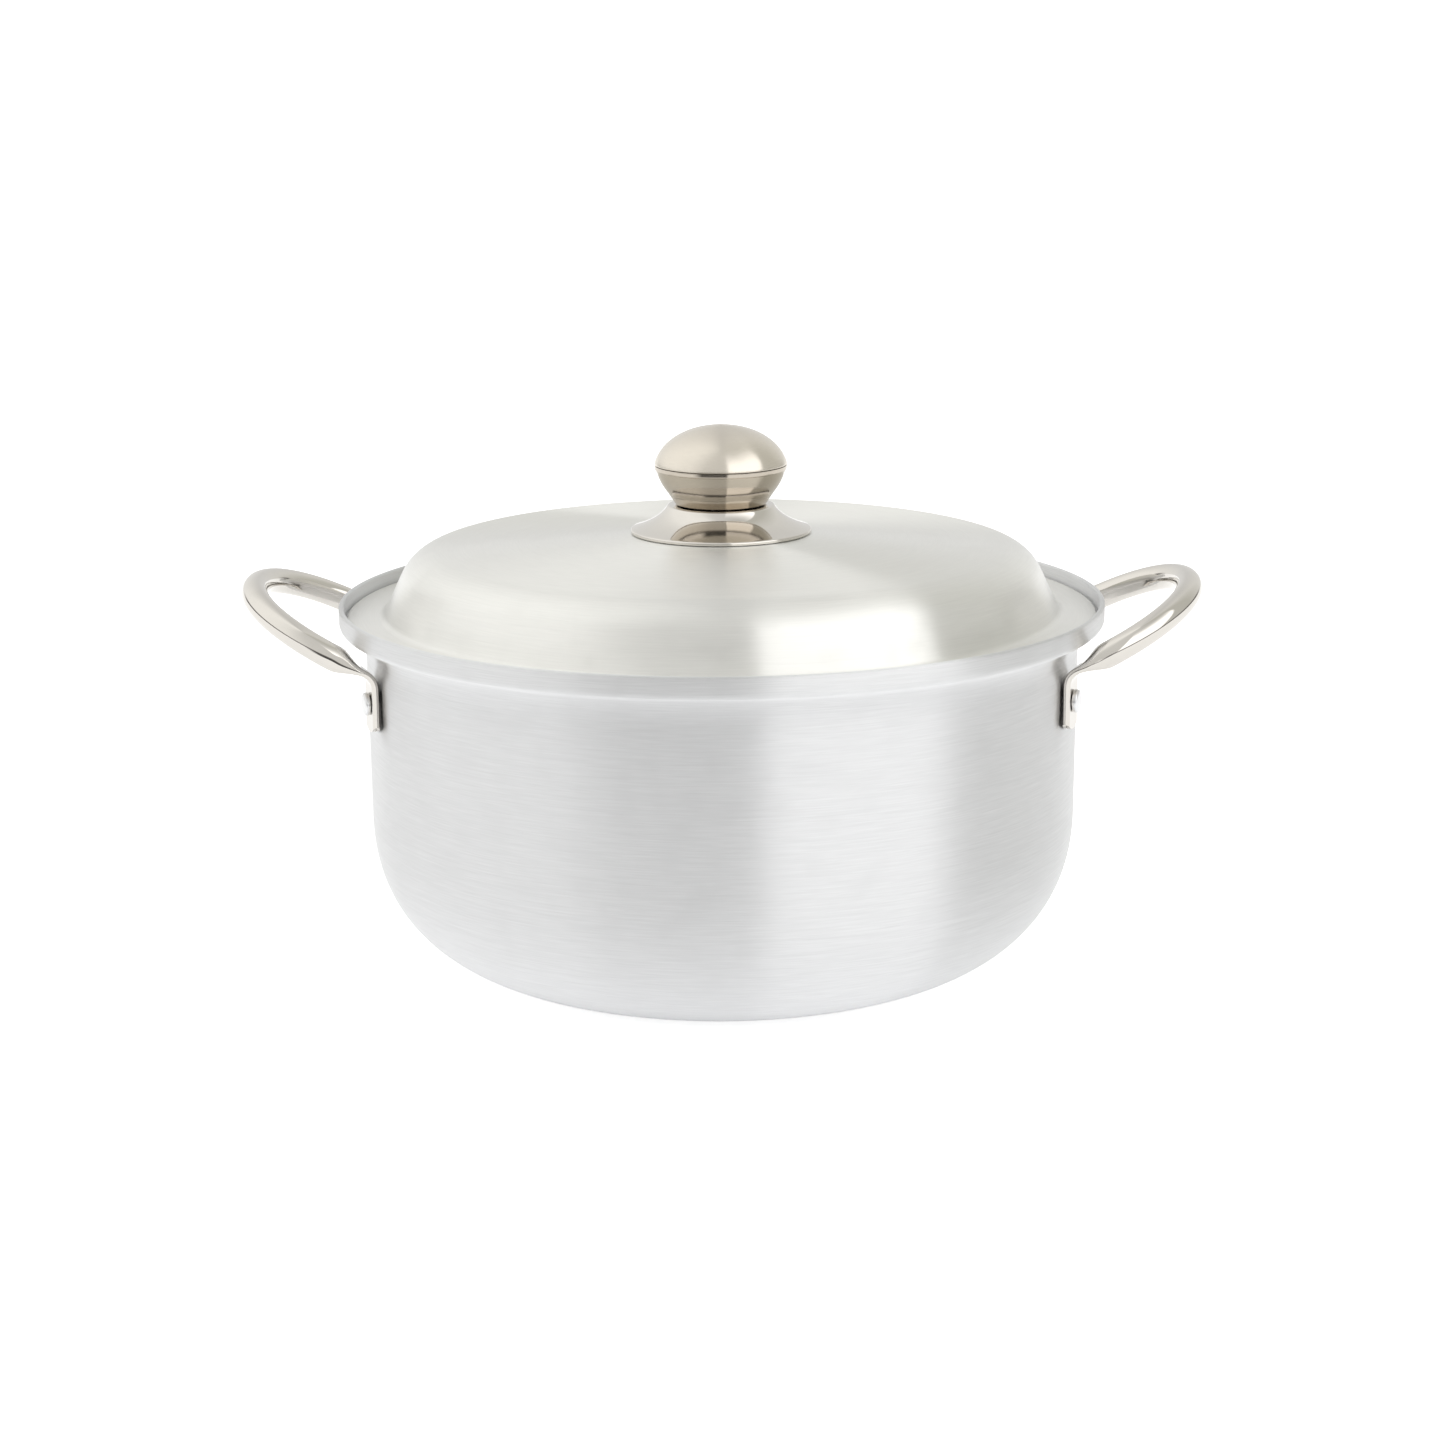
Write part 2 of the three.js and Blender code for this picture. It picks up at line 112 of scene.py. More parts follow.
class HandleSizes(PropertyGroup):
    """The bent tubes, with both ends flattened into riveted tabs."""

    diameter: length("Tube diameter", "Outside of the round tube", 9.5 * MM)
    wall: length("Tube wall", "Thickness of the tube's wall", 1.1 * MM)
    slit: length("Slit", "Left open inside the flattened ends", 0.3 * MM)
    wall_gap: length("Wall gap", "Between the tabs and the pot", 0.3 * MM)
    tab_angle: angle("Tab angle", "From the middle of the handle round to a tab", 19.5)
    tab_round: length("Tab round", "How far the corners of the tabs are set back", 2.6 * MM)
    bend: length("Bend", "Reach of the bend between a tab and its arm", 4 * MM)
    flatten: length("Flatten", "Over this much of the arm the tube grows round", 10.5 * MM)
    arm_below_rim: length("Arm below rim", "From the lip down to the bend", 19.8 * MM)
    tilt: angle("Tilt", "How steeply the arms rise", 27)
    flare: angle("Flare", "How far the arms splay", 17)
    swing: length("Swing", "How far the arms keep their first direction", 27.5 * MM)
    reach: length("Reach", "From the tabs to the middle of the loop", 46.6 * MM)
    rise: length("Rise", "From the bend up to the middle of the loop", 24.2 * MM)
    loop_swing: length("Loop swing", "How far the loop's middle stays square", 32.7 * MM)


class RivetSizes(PropertyGroup):
    """The four rivets, their larger heads inside the pot."""

    shank: length("Shank", "Diameter of the shank", 4.8 * MM)
    hole_gap: length("Hole gap", "All round the shank in its hole", 0.4 * MM)
    head: length("Head", "Diameter of the head on the tab", 8.2 * MM)
    head_height: length("Head height", "Height of the head on the tab", 2 * MM)
    inner_head: length("Inner head", "Diameter of the head inside", 10 * MM)
    inner_head_height: length("Inner head height", "Height of the head inside", 1.6 * MM)


class LidSizes(PropertyGroup):
    """The lid, from its flat brim up to the hole for the knob's screw."""

    brim_radius: length("Brim radius", "Outside of the flat brim", LID_HIGH.x)
    sheet: length("Sheet", "Thickness of the metal", 1.4 * MM)
    brim_width: length("Brim width", "From the edge in to the side", 13.2 * MM)
    foot_fillet: length("Foot fillet", "Radius between brim and side", 3 * MM)
    side_height: length("Side height", "From the brim up to the crown", 23.2 * MM)
    side_lean: length("Side lean", "How far the side leans in", 11 * MM)
    shoulder: length("Shoulder", "Radius between side and crown", 15.7 * MM)
    crown_rise: length("Crown rise", "From the crown's edge to its middle", 7.5 * MM)
    hole_radius: length("Hole radius", "Hole for the knob's screw", 2.9 * MM)
    edge_round: share("Edge round", "Rounding of the edge, as a share of the sheet", 0.46)


class KnobSizes(PropertyGroup):
    """The polished collar and the hollow knob of cup and cap."""

    skirt_radius: length("Skirt radius", "Edge of the collar", SKIRT_HIGH.x)
    skirt_top_radius: length("Skirt top radius", "Shoulder of the collar under the knob", 19.4 * MM)
    skirt_sheet: length("Skirt sheet", "Thickness of the collar", 0.9 * MM)
    skirt_corner: length("Skirt corner", "Radius of the shoulder", 1.2 * MM)
    skirt_edge: length("Skirt edge", "Height of the edge that is turned down", 1.1 * MM)
    skirt_edge_round: length("Skirt edge round", "Radius above that edge", 0.7 * MM)
    sheet: length("Sheet", "Thickness of cup and cap", 1 * MM)
    radius: length("Radius", "Widest part of the knob", 24.4 * MM)
    foot_radius: length("Foot radius", "Foot of the cup", 16.6 * MM)
    foot_height: length("Foot height", "Height of the foot", 4.2 * MM)
    foot_round: length("Foot round", "Radius under the foot", 0.7 * MM)
    foot_flare: length("Foot flare", "How far the foot opens upwards", 2.8 * MM)
    cup_height: length("Cup height", "From the floor of the cup to the bead", 12.4 * MM)
    bead_overhang: length("Bead overhang", "How far the bead stands out", 0.7 * MM)
    cap_sink: length("Cap sink", "From the cap's edge down to the middle of its dome", 4.1 * MM)
    cap_rise: length("Cap rise", "From there up to the top", 18.2 * MM)
    cap_power: FloatProperty(name="Cap power", description="2 is half an ellipse", default=2.1)
    hole_radius: length("Hole radius", "Hole for the screw", 2.9 * MM)


class Detail(PropertyGroup):
    """How finely the round shapes are divided."""

    turns: IntProperty(name="Large", description="Sides of pot and lid", default=256, min=24)
    knob_turns: IntProperty(name="Knob", description="Sides of the knob", default=160, min=24)
    rivet_turns: IntProperty(name="Rivet", description="Sides of a rivet", default=48, min=12)
    tube_sides: IntProperty(name="Tube", description="Sides of the handles", default=44, min=12)


class Finishes(PropertyGroup):
    """Colours of the metals and of the floor."""

    pot: colour("Pot", "Spun aluminium of the body", (0.890, 0.893, 0.898))
    lid: colour("Lid", "Finely spun aluminium of the lid", (0.890, 0.885, 0.852))
    polished: colour("Polished steel", "Handles and collar", (0.690, 0.660, 0.615))
    brushed: colour("Brushed steel", "Cap of the knob", (0.735, 0.682, 0.603))
    glossy: colour("Glossy steel", "Cup of the knob", (0.560, 0.505, 0.430))
    rivet: colour("Rivet", "Soft aluminium of the rivets", (0.800, 0.800, 0.800))
    zinc: colour("Zinc", "Plated screw, nut and washer", (0.560, 0.570, 0.590))
    floor: colour("Floor", "Pale floor", (0.800, 0.800, 0.806))


class Studio(PropertyGroup):
    """The camera."""

    distance: length("Distance", "From the camera to the pot", 1.2066)
    aim_height: length("Aim height", "Height that the camera looks at", 90.16 * MM)
    elevation: angle("Elevation", "How far the camera looks down", 13.17)
    turn: angle("Turn", "How far the camera stands to the right", 0.64)
    roll: angle("Roll", "How far the camera leans to the right", 0.4)
    lens: FloatProperty(name="Lens", description="Focal length", default=81.07, unit="CAMERA")


PROPERTY_GROUPS = {
    "pot_sizes": PotSizes,
    "handle_sizes": HandleSizes,
    "rivet_sizes": RivetSizes,
    "lid_sizes": LidSizes,
    "knob_sizes": KnobSizes,
    "pot_detail": Detail,
    "pot_finishes": Finishes,
    "pot_studio": Studio,
}


# ---------------------------------------------------------------- outlines


def point(across, up):
    return Vector((across, up))


def quarter(centre, reach, start, end, steps, power=2.0):
    """Points on a superellipse from one angle to another, counted in quarter turns."""
    def soften(value):
        return math.copysign(abs(value) ** (2 / power), value)

    angles = [(start + (end - start) * step / steps) * QUARTER_TURN for step in range(steps + 1)]
    return [
        centre + point(reach.x * soften(math.cos(a)), reach.y * soften(math.sin(a)))
        for a in angles
    ]


def rounded(before, corner, after, radius, steps):
    """The corner of two straight lines, rounded with an arc."""
    back = (before - corner).normalized()
    ahead = (after - corner).normalized()
    half = back.angle(ahead) / 2
    reach = radius / math.tan(half)
    centre = corner + (back + ahead).normalized() * reach / math.cos(half)
    first = corner + back * reach - centre
    last = corner + ahead * reach - centre
    turn = -first.angle_signed(last)
    return [centre + first @ Matrix.Rotation(turn * step / steps, 2).transposed() for step in range(steps + 1)]


def straight(start, end, steps):
    """Points between two ends, without the ends themselves."""
    return [start.lerp(end, step / steps) for step in range(1, steps)]


def curve(start, pull, end, steps):
    """A curve between two ends that leaves and meets them in line with one point off to its side."""
    shares = [step / steps for step in range(steps + 1)]
    return [start.lerp(pull, share).lerp(pull.lerp(end, share), share) for share in shares]


def crown_height(radius):
    """Height of the lid's upper surface at a radius on its crown."""
    sizes = bpy.context.scene.lid_sizes
    edge_radius = sizes.brim_radius - sizes.brim_width - sizes.side_lean
    middle = LID_LOW.z + sizes.sheet + sizes.side_height + sizes.crown_rise
    return middle - sizes.crown_rise * radius / edge_radius


# ---------------------------------------------------------------- modelling


def deselect():
    if bpy.context.mode != "OBJECT":
        bpy.ops.object.mode_set(mode="OBJECT")
    bpy.ops.object.select_all(action="DESELECT")


def spin_outline(name, outline, turns):
    """Extrudes one vertex along an outline and spins it about the Z axis."""
    deselect()
    bpy.ops.mesh.primitive_plane_add(size=MM)
    piece = bpy.context.object
    piece.name = name
    piece.data.name = name
    bpy.ops.object.mode_set(mode="EDIT")
    bpy.ops.mesh.select_mode(type="VERT")
    bpy.ops.mesh.merge(type="CENTER")
    bpy.ops.transform.translate(value=(outline[0].x, 0, outline[0].y))
    for here, ahead in zip(outline, outline[1:]):
        step = ahead - here
        bpy.ops.mesh.extrude_region_move(TRANSFORM_OT_translate={"value": (step.x, 0, step.y)})
    bpy.ops.mesh.select_all(action="SELECT")
    bpy.ops.mesh.spin(steps=turns, angle=FULL_TURN, center=(0, 0, 0), axis=UP)
    tidy_mesh()
    return piece


def tidy_mesh():
    """Merges doubles and turns the faces of the mesh in edit mode outwards."""
    bpy.ops.mesh.select_all(action="SELECT")
    bpy.ops.mesh.remove_doubles(threshold=MERGE_DISTANCE)
    bpy.ops.mesh.normals_make_consistent(inside=False)
    bpy.ops.object.mode_set(mode="OBJECT")


def modify(piece, kind, **settings):
    """Adds a modifier and applies it."""
    bpy.context.view_layer.objects.active = piece
    modifier = piece.modifiers.new(kind.title(), kind)
    for name, value in settings.items():
        setattr(modifier, name, value)
    bpy.ops.object.modifier_apply(modifier=modifier.name)


def give_wall(piece, thickness, edge_round):
    """Thickens a sheet inwards and rounds its free edges."""
    modify(piece, "SOLIDIFY", thickness=thickness, offset=-1, use_even_offset=True)
    modify(
        piece, "BEVEL",
        width=thickness * edge_round, segments=4, limit_method="ANGLE", angle_limit=math.radians(50),
    )


def smooth(piece, degrees=35):
    deselect()
    piece.select_set(True)
    bpy.context.view_layer.objects.active = piece
    bpy.ops.object.shade_smooth_by_angle(angle=math.radians(degrees))


def apply_place(piece):
    """Moves the object's place and turn into its mesh."""
    deselect()
    piece.select_set(True)
    bpy.context.view_layer.objects.active = piece
    bpy.ops.object.transform_apply(location=True, rotation=True, scale=True)


def copy_turned(piece, name, turn):
    """A copy of a piece, with a mesh of its own, turned about the Z axis."""
    deselect()
    piece.select_set(True)
    bpy.context.view_layer.objects.active = piece
    bpy.ops.object.duplicate()
    copy = bpy.context.object
    copy.name = name
    copy.data.name = name
    copy.rotation_euler.z = turn
    apply_place(copy)
    return copy


def drill_rivet_holes(piece, angles):
    """Cuts the round holes that the rivets go through."""
    scene = bpy.context.scene
    for turn in angles:
        deselect()
        bpy.ops.mesh.primitive_cylinder_add(
            vertices=scene.pot_detail.rivet_turns,
            radius=scene.rivet_sizes.shank / 2 + scene.rivet_sizes.hole_gap,
            depth=RIVET_HIGH.x - RIVET_LOW.x + 10 * MM,
            location=(math.cos(turn) * tab_radius(), math.sin(turn) * tab_radius(), rivet_height()),
            rotation=(0, QUARTER_TURN, turn),
        )
        drill = bpy.context.object
        modify(piece, "BOOLEAN", operation="DIFFERENCE", solver="EXACT", object=drill)
        bpy.data.objects.remove(drill)


def stand_in(piece, body, node, material):
    """Gives a piece its finish and puts it in the place of a CAD node."""
    piece.data.materials.clear()
    piece.data.materials.append(material)
    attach(piece, body)
    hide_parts(node)


# ---------------------------------------------------------------- shader nodes


class Signal:
    """A node's output. Sums and products of signals and numbers add Math nodes."""

    def __init__(self, tree, socket):
        self.tree = tree
        self.socket = socket

    def math(self, operation, first, second):
        return self.tree.add("ShaderNodeMath", {"operation": operation}, {0: first, 1: second})

    def __add__(self, other):
        return self.math("ADD", self, other)

    def __sub__(self, other):
        return self.math("SUBTRACT", self, other)

    def __rsub__(self, other):
        return self.math("SUBTRACT", other, self)

    def __mul__(self, other):
        return self.math("MULTIPLY", self, other)

    def __truediv__(self, other):
        return self.math("DIVIDE", self, other)

    def __pow__(self, other):
        return self.math("POWER", self, other)

    __radd__ = __add__
    __rmul__ = __mul__


class Tree:
    """A node tree that is filled one node at a time."""

    def __init__(self, owner):
        owner.use_nodes = True
        self.nodes = owner.node_tree.nodes
        self.links = owner.node_tree.links
        self.nodes.clear()

    def add(self, kind, settings=None, inputs=None, output=0):
        node = self.nodes.new(kind)
        for name, value in (settings or {}).items():
            if name == "stops":
                set_stops(node.color_ramp, value)
            else:
                setattr(node, name, value)
        for name, value in (inputs or {}).items():
            if isinstance(value, Signal):
                self.links.new(value.socket, node.inputs[name])
            else:
                node.inputs[name].default_value = value
        return Signal(self, node.outputs[output]) if len(node.outputs) else node

    def between(self, signal, low, high):
        """0 below low, 1 above high and a smooth change between them."""
        return self.add(
            "ShaderNodeMapRange", {"interpolation_type": "SMOOTHSTEP"},
            {"Value": signal, "From Min": low, "From Max": high},
        )

    def blend(self, factor, first, second):
        """A colour between two colours."""
        return self.add(
            "ShaderNodeMix", {"data_type": "RGBA"},
            {"Factor": factor, "A": first, "B": second}, output=2,
        )


def set_stops(ramp, stops):
    while len(ramp.elements) > 1:
        ramp.elements.remove(ramp.elements[-1])
    ramp.elements[0].position = stops[0][0]
    ramp.elements[0].color = stops[0][1]
    for position, value in stops[1:]:
        ramp.elements.new(position).color = value


def heading_of(tree, place):
    """Which way a place or direction lies, in degrees: 0 is the front and 90 the right."""
    east = tree.add("ShaderNodeSeparateXYZ", inputs={0: place}, output=0)
    north = tree.add("ShaderNodeSeparateXYZ", inputs={0: place}, output=1)
    return east.math("ARCTAN2", east, 0 - north) * (180 / math.pi)


def opaque(rgb, factor=1.0):
    return (*(channel * factor for channel in rgb), 1.0)


# ---------------------------------------------------------------- finishes


def spun_lines(tree, width, turns):
    """Fine lines round the Z axis, of a width in metres and that many different runs a turn."""
    place = tree.add("ShaderNodeTexCoord", output="Object")
    height = tree.add("ShaderNodeSeparateXYZ", inputs={0: place}, output=2)
    flat = tree.add(
        "ShaderNodeVectorMath", {"operation": "MULTIPLY"}, {0: place, 1: (1, 1, 0)},
    )
    radius = tree.add("ShaderNodeVectorMath", {"operation": "LENGTH"}, {0: flat}, output=1)
    heading = tree.add("ShaderNodeVectorMath", {"operation": "NORMALIZE"}, {0: flat})
    runs = tree.add(
        "ShaderNodeVectorMath", {"operation": "SCALE"}, {0: heading, "Scale": turns / FULL_TURN},
    )
    lift = tree.add("ShaderNodeCombineXYZ", inputs={2: radius / width})
    where = tree.add("ShaderNodeVectorMath", {"operation": "ADD"}, {0: runs, 1: lift})
    return tree.add(
        "ShaderNodeTexNoise", {"noise_dimensions": "4D"},
        {"Vector": where, "W": height / width, "Scale": 1.0, "Detail": 2.0, "Roughness": 0.6},
    )


def patches(tree, size, detail=3.0):
    """Soft patches of about that size in metres."""
    place = tree.add("ShaderNodeTexCoord", output="Object")
    return tree.add(
        "ShaderNodeTexNoise", inputs={"Vector": place, "Scale": 1 / size, "Detail": detail},
    )


def metal(name, tree, material, colour_signal, roughness, normal, anisotropic=0.0):
    shader = tree.add("ShaderNodeBsdfPrincipled", inputs={
        "Base Color": colour_signal, "Metallic": 1.0, "Roughness": roughness,
        "Anisotropic": anisotropic, "Anisotropic Rotation": 0.25, "Normal": normal,
    })
    tree.add("ShaderNodeOutputMaterial", inputs={"Surface": shader})
    return material


def spun_metal(name, rgb, roughness, line_width, line_depth, anisotropic, contrast):
    """Metal with lines turned round its axis and faint handling marks."""
    material = bpy.data.materials.new(name)
    tree = Tree(material)
    fine = spun_lines(tree, line_width, 50)
    broad = spun_lines(tree, line_width * 2.4, 40)
    lines = fine * 0.75 + broad * 0.25
    marks = tree.between(patches(tree, 9 * MM), 0.45, 0.75)
    tone = tree.blend(lines, opaque(rgb, 1 - contrast), opaque(rgb, 1 + contrast * 0.6))
    dulled = tree.blend(marks * 0.35, tone, opaque(rgb, 0.96))
    rough = roughness + (lines - 0.5) * 0.12 + marks * 0.02
    normal = tree.add("ShaderNodeBump", inputs={
        "Strength": 1.0, "Distance": line_depth, "Height": lines,
    })
    return metal(name, tree, material, dulled, rough, normal, anisotropic)


def polished_metal(name, rgb, roughness):
    """Bright steel with faint polishing marks and finger smears."""
    material = bpy.data.materials.new(name)
    tree = Tree(material)
    smears = tree.between(patches(tree, 14 * MM), 0.4, 0.7)
    haze = patches(tree, 1.2 * MM, 4.0)
    tone = tree.blend(smears * 0.5, opaque(rgb), opaque(rgb, 0.94))
    rough = roughness + smears * 0.03 + (haze - 0.5) * 0.03
    normal = tree.add("ShaderNodeBump", inputs={
        "Strength": 1.0, "Distance": 0.004 * MM, "Height": haze,
    })
    return metal(name, tree, material, tone, rough, normal)


def finish(slot):
    """The material of one slot, made the first time that it is asked for."""
    name = f"{slot}_finish"
    made = bpy.data.materials.get(name)
    if made:
        return made
    rgb = bpy.context.scene.pot_finishes
    if slot == "spun_aluminium":
        return spun_metal(name, rgb.pot, 0.46, 0.4 * MM, 0.006 * MM, 1.0, 0.2)
    if slot == "lid_aluminium":
        return spun_metal(name, rgb.lid, 0.34, 0.4 * MM, 0.005 * MM, 1.0, 0.12)
    if slot == "brushed_steel":
        return spun_metal(name, rgb.brushed, 0.24, 0.3 * MM, 0.002 * MM, 0.9, 0.12)
    if slot == "glossy_steel":
        return spun_metal(name, rgb.glossy, 0.12, 0.3 * MM, 0.002 * MM, 0.8, 0.12)
    if slot == "polished_steel":
        return polished_metal(name, rgb.polished, 0.05)
    if slot == "rivet_aluminium":
        return polished_metal(name, rgb.rivet, 0.3)
    return polished_metal(name, rgb.zinc, 0.3)


# ---------------------------------------------------------------- the pot


def rivet_height():
    return (RIVET_LOW.z + RIVET_HIGH.z) / 2


def wall_radius():
    sizes = bpy.context.scene.pot_sizes
    return sizes.rim_radius - sizes.band_corner - sizes.neck_width


def tab_radius():
    sizes = bpy.context.scene.handle_sizes
    return wall_radius() + sizes.wall_gap + tab_half_thickness()


def tab_half_thickness():
    sizes = bpy.context.scene.handle_sizes
    return sizes.wall + sizes.slit / 2


def tab_angles():
    turn = bpy.context.scene.handle_sizes.tab_angle
    return {"right_rear": turn, "right_front": -turn, "left_front": math.pi + turn, "left_rear": math.pi - turn}


class POT_OT_body(Operator):
    """Spins the body of the pot and drills its rivet holes"""

    bl_idname = "pot.body"
    bl_label = "Pot Body"

    def execute(self, context):
        sizes = context.scene.pot_sizes
        shoulder = sizes.height - sizes.band_height
        foot_radius = wall_radius() - sizes.wall_taper
        wall_top = shoulder - sizes.neck_height
        outline = [
            point(0, 0),
            *straight(point(0, 0), point(sizes.base_radius, 0), 8),
            *quarter(
                point(sizes.base_radius, sizes.corner_height),
                point(foot_radius - sizes.base_radius, sizes.corner_height),
                -1, 0, 40, sizes.corner_power,
            ),
            *straight(point(foot_radius, sizes.corner_height), point(wall_radius(), wall_top), 16),
            *quarter(
                point(wall_radius() + sizes.neck_width, wall_top),
                point(sizes.neck_width, sizes.neck_height),
                2, 1, 14,
            ),
            *quarter(
                point(sizes.rim_radius - sizes.band_corner, shoulder + sizes.band_corner),
                point(sizes.band_corner, sizes.band_corner),
                -1, 0, 8,
            )[1:],
            point(sizes.rim_radius, sizes.height),
        ]
        body = spin_outline("body", outline, context.scene.pot_detail.turns)
        give_wall(body, sizes.sheet, sizes.lip_round)
        drill_rivet_holes(body, tab_angles().values())
        smooth(body)
        stand_in(body, "pot", "pot_body", finish("spun_aluminium"))
        return {"FINISHED"}


def centreline(side):
    """One half of a handle's middle line, from its tab to the end of its loop."""
    sizes = bpy.context.scene.handle_sizes
    arm_way = Vector((
        math.cos(sizes.tilt) * math.cos(sizes.flare),
        side * math.cos(sizes.tilt) * math.sin(sizes.flare),
        math.sin(sizes.tilt),
    ))
    arm_height = bpy.context.scene.pot_sizes.height - sizes.arm_below_rim
    corner = Vector((
        tab_radius() * math.cos(sizes.tab_angle), side * tab_radius() * math.sin(sizes.tab_angle), arm_height,
    ))
    foot = Vector((corner.x, corner.y, HANDLE_LOW.z))
    bend_start = corner - UP * sizes.bend
    bend_end = corner + arm_way * sizes.bend
    loop_end = Vector((corner.x + sizes.reach, 0, arm_height + sizes.rise))
    loop_side = loop_end + Vector((0, side * sizes.loop_swing, 0))
    tab = [foot, *straight(foot, bend_start, 12)]
    bend = curve(bend_start, corner, bend_end, 9)
    arm = interpolate_bezier(bend_end, corner + arm_way * sizes.swing, loop_side, loop_end, 70)
    return tab + bend[:-1], arm


def stations():
    """Places along a whole handle, with the shape and facing of the tube at each."""
    sizes = bpy.context.scene.handle_sizes
    halves = []
    for side in (-1, 1):
        start, arm = centreline(side)
        runs = [0.0]
        for here, ahead in zip(arm, arm[1:]):
            runs.append(runs[-1] + (ahead - here).length)
        growth = [min(run / sizes.flatten, 1) for run in runs]
        flatness = [1.0] * len(start) + [1 - step * step * (3 - 2 * step) for step in growth]
        facing = [side * sizes.tab_angle] * len(start) + [side * sizes.tab_angle * (1 - run / runs[-1]) for run in runs]
        halves.append(list(zip(start + arm, flatness, facing)))
    line = halves[0] + halves[1][-2::-1]
    places = [place for place, flatness, facing in line]
    return [
        (place, (places[min(index + 1, len(places) - 1)] - places[max(index - 1, 0)]).normalized(), flatness, facing)
        for index, (place, flatness, facing) in enumerate(line)
    ]


def section(share_round, flatness):
    """Where a point of the tube's outline lies, across and up, once the tube is flattened.

    The outline keeps its length, so what it loses in height it gains in width."""
    sizes = bpy.context.scene.handle_sizes
    radius = sizes.diameter / 2
    height = radius + (tab_half_thickness() - radius) * flatness
    flat = math.pi * (radius - height) / 2
    run = (share_round % 1) * FULL_TURN * radius
    quadrant_run = QUARTER_TURN * radius
    quadrant, run = divmod(run, quadrant_run)
    if quadrant % 2:
        run = quadrant_run - run
    bend = QUARTER_TURN * height
    if run <= bend:
        across, up = flat + height * math.cos(run / height), height * math.sin(run / height)
    else:
        across, up = flat - (run - bend), height
    return across * (-1 if quadrant in (1, 2) else 1), up * (-1 if quadrant in (2, 3) else 1)


def lay_tube(piece, line):
    """Moves the rings of a straight tube, one unit apart, to their places along a handle."""
    sizes = bpy.context.scene.handle_sizes
    last = len(line) - 1
    half_width = section(0, 1)[0]
    for vertex in piece.data.vertices:
        index = round(vertex.co.z)
        place, ahead, flatness, facing = line[index]
        across, up = section(math.atan2(vertex.co.y, vertex.co.x) / FULL_TURN, flatness)
        thin = Vector((
            -math.sin(sizes.tilt) * math.cos(facing),
            -math.sin(sizes.tilt) * math.sin(facing),
            math.cos(sizes.tilt),
        ))
        thin = (thin - ahead * thin.dot(ahead)).normalized()
        wide = thin.cross(ahead)
        set_back = sizes.tab_round * (across / half_width) ** 2
        from_end = min(index, last - index) / 12
        pull = set_back * max(1 - from_end, 0) * (1 if index < last / 2 else -1)
        vertex.co = place + wide * across + thin * up + ahead * pull


class POT_OT_handles(Operator):
    """Bends two tubes with flattened ends into handles"""

    bl_idname = "pot.handles"
    bl_label = "Handles"

    def execute(self, context):
        line = stations()
        deselect()
        bpy.ops.mesh.primitive_circle_add(vertices=context.scene.pot_detail.tube_sides, radius=1)
        right = bpy.context.object
        right.name = "right_handle_tube"
        right.data.name = right.name
        bpy.ops.object.mode_set(mode="EDIT")
        for _ in line[1:]:
            bpy.ops.mesh.extrude_region_move(TRANSFORM_OT_translate={"value": (0, 0, 1)})
        bpy.ops.object.mode_set(mode="OBJECT")
        lay_tube(right, line)
        bpy.ops.object.mode_set(mode="EDIT")
        tidy_mesh()
        modify(right, "SOLIDIFY", thickness=context.scene.handle_sizes.wall, offset=-1, use_even_offset=True)
        turn = context.scene.handle_sizes.tab_angle
        drill_rivet_holes(right, (turn, -turn))
        smooth(right)
        left = copy_turned(right, "left_handle_tube", math.pi)
        for piece, node in ((right, "right_handle"), (left, "left_handle")):
            stand_in(piece, "pot", node, finish("polished_steel"))
        return {"FINISHED"}


class POT_OT_rivets(Operator):
    """Spins one rivet and sets a copy in each tab"""

    bl_idname = "pot.rivets"
    bl_label = "Rivets"

    def execute(self, context):
        sizes = context.scene.rivet_sizes
        turn = tab_angles()["right_rear"]
        way = Vector((math.cos(turn), math.sin(turn), 0))
        reaches = [vertex.co.dot(way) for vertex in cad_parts["right_rear_rivet"].data.vertices]
        outer_seat = max(reaches) - sizes.head_height
        inner_seat = min(reaches) + sizes.inner_head_height
        shank = sizes.shank / 2
        head = sizes.head / 2
        inner = sizes.inner_head / 2
        outline = [
            *quarter(
                point(0, inner_seat - sizes.inner_head_height * 0.4),
                point(inner, sizes.inner_head_height * 0.6), -1, 0, 10, 2.6,
            ),
            point(inner, inner_seat),
            point(shank, inner_seat),
            point(shank, outer_seat),
            point(head, outer_seat),
            *quarter(
                point(0, outer_seat + sizes.head_height * 0.45),
                point(head, sizes.head_height * 0.55), 0, 1, 10, 3.4,
            ),
        ]
        rivet = spin_outline("rivet", outline, context.scene.pot_detail.rivet_turns)
        modify(rivet, "BEVEL", width=0.12 * MM, segments=2, limit_method="ANGLE", angle_limit=math.radians(50))
        rivet.rotation_euler.y = QUARTER_TURN
        rivet.location.z = rivet_height()
        apply_place(rivet)
        smooth(rivet)
        for corner, turn in tab_angles().items():
            copy = copy_turned(rivet, f"{corner}_rivet_head", turn)
            stand_in(copy, "pot", f"{corner}_rivet", finish("rivet_aluminium"))
        bpy.data.objects.remove(rivet)
        return {"FINISHED"}


# ---------------------------------------------------------------- the lid and its knob


